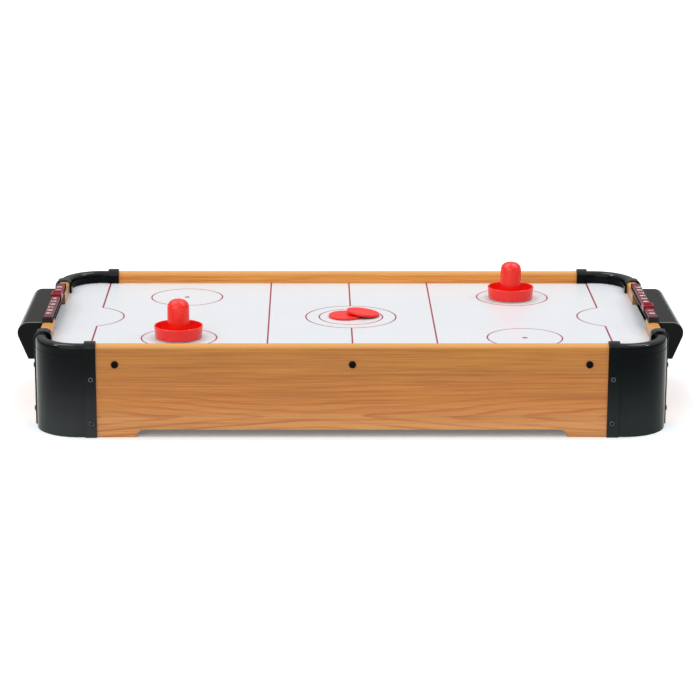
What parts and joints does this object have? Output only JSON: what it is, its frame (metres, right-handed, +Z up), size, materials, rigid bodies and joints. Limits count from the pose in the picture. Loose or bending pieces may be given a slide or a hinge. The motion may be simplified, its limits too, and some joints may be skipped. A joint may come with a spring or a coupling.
{
  "type": "air hockey table",
  "caption": "Tabletop air hockey table: wood-grain box with black moulded corners, perforated playfield over a fan-fed air chamber, sliding scorers, pushers and pucks.",
  "frame": {"origin": "on the floor, below the middle of the table", "axes": "+X along the table to the right-hand goal, +Y across it to the back, +Z up"},
  "size_m": [0.752, 0.373, 0.1351],
  "materials": {
    "wood_panel": "wood-grain foil, satin",
    "playfield": "white laminate with red printed lines",
    "black_moulding": "moulded, semi-gloss",
    "goal_plastic": "moulded, fine texture",
    "red_plastic": "glossy moulded",
    "burgundy_plastic": "moulded, satin",
    "felt": "woollen felt",
    "raw_wood": "unfinished",
    "hardboard": "unfinished hardboard",
    "black_screw": "black coated steel",
    "steel": "zinc plated",
    "bearing_metal": "sintered bronze",
    "motor_iron": "laminated",
    "fan_plastic": "moulded",
    "lead_jacket": "smooth"
  },
  "bodies": {
    "table": {"front_panel": "wood_panel", "back_panel": "wood_panel", "left_end_panel": "wood_panel", "right_end_panel": "wood_panel", "playfield": "playfield", "corner_bracket_back_right": "black_moulding", "corner_bracket_front_right": "black_moulding", "corner_bracket_back_left": "black_moulding", "corner_bracket_front_left": "black_moulding", "goal_box_left": "goal_plastic", "goal_box_right": "goal_plastic", "scorer_holder_left": "goal_plastic", "scorer_holder_right": "goal_plastic", "number_bar_left": "burgundy_plastic", "number_bar_right": "burgundy_plastic", "front_batten": "raw_wood", "back_batten": "raw_wood", "left_batten": "raw_wood", "right_batten": "raw_wood", "cross_batten_left": "raw_wood", "cross_batten_right": "raw_wood", "plenum_base": "hardboard", "bracket_screws": "black_screw", "panel_screws": "black_screw", "control_plate_screws": "black_screw", "plenum_base_screws": "steel", "goal_box_screws": "steel", "scorer_screws": "steel", "fan_screws": "steel", "fan_nuts": "steel", "power_inlet_nut": "steel", "fan_bearing": "bearing_metal", "fan_stator": "motor_iron", "fan_frame": "fan_plastic", "fan_guard": "fan_plastic", "control_plate": "fan_plastic", "switch_body": "fan_plastic", "power_inlet": "fan_plastic", "lead_clips": "fan_plastic", "fan_lead": "lead_jacket", "inlet_lead": "lead_jacket"},
    "score_slider_left": {"score_slider_left": "burgundy_plastic"},
    "score_slider_right": {"score_slider_right": "burgundy_plastic"},
    "pusher_left": {"pusher_left": "red_plastic", "pusher_felt_left": "felt"},
    "pusher_right": {"pusher_right": "red_plastic", "pusher_felt_right": "felt"},
    "puck_flat": {"puck_flat": "red_plastic"},
    "puck_leaning": {"puck_leaning": "red_plastic"},
    "fan_rotor": {"fan_impeller": "fan_plastic", "fan_shaft": "steel", "fan_magnet": "motor_iron"},
    "switch_rocker": {"switch_rocker": "fan_plastic"}
  },
  "joints": [
    {"name": "score_left_slide", "type": "slide", "parent": "table", "child": "score_slider_left", "axis": [0, 1, 0], "range_m": [-0.0985, 0.0415]},
    {"name": "score_right_slide", "type": "slide", "parent": "table", "child": "score_slider_right", "axis": [0, 1, 0], "range_m": [-0.0415, 0.0985]},
    {"name": "pusher_left_slide", "type": "slide", "parent": "table", "child": "pusher_left", "axis": [1, 0, 0], "range_m": [-0.11, 0.164]},
    {"name": "pusher_right_slide", "type": "slide", "parent": "table", "child": "pusher_right", "axis": [1, 0, 0], "range_m": [-0.164, 0.11]},
    {"name": "puck_flat_slide", "type": "slide", "parent": "table", "child": "puck_flat", "axis": [1, 0, 0], "range_m": [-0.3345, 0]},
    {"name": "puck_leaning_lift", "type": "slide", "parent": "table", "child": "puck_leaning", "axis": [0, 0, 1], "range_m": [0, 0.06]},
    {"name": "fan_spin", "type": "hinge", "parent": "table", "child": "fan_rotor", "pos_m": [0, 0, 0.055], "axis": [0, 0, 1], "continuous": true},
    {"name": "switch_rock", "type": "hinge", "parent": "table", "child": "switch_rocker", "pos_m": [-0.209, 0.1816, 0.042], "axis": [0, 0, 1], "range_deg": [0, 16]}
  ]
}
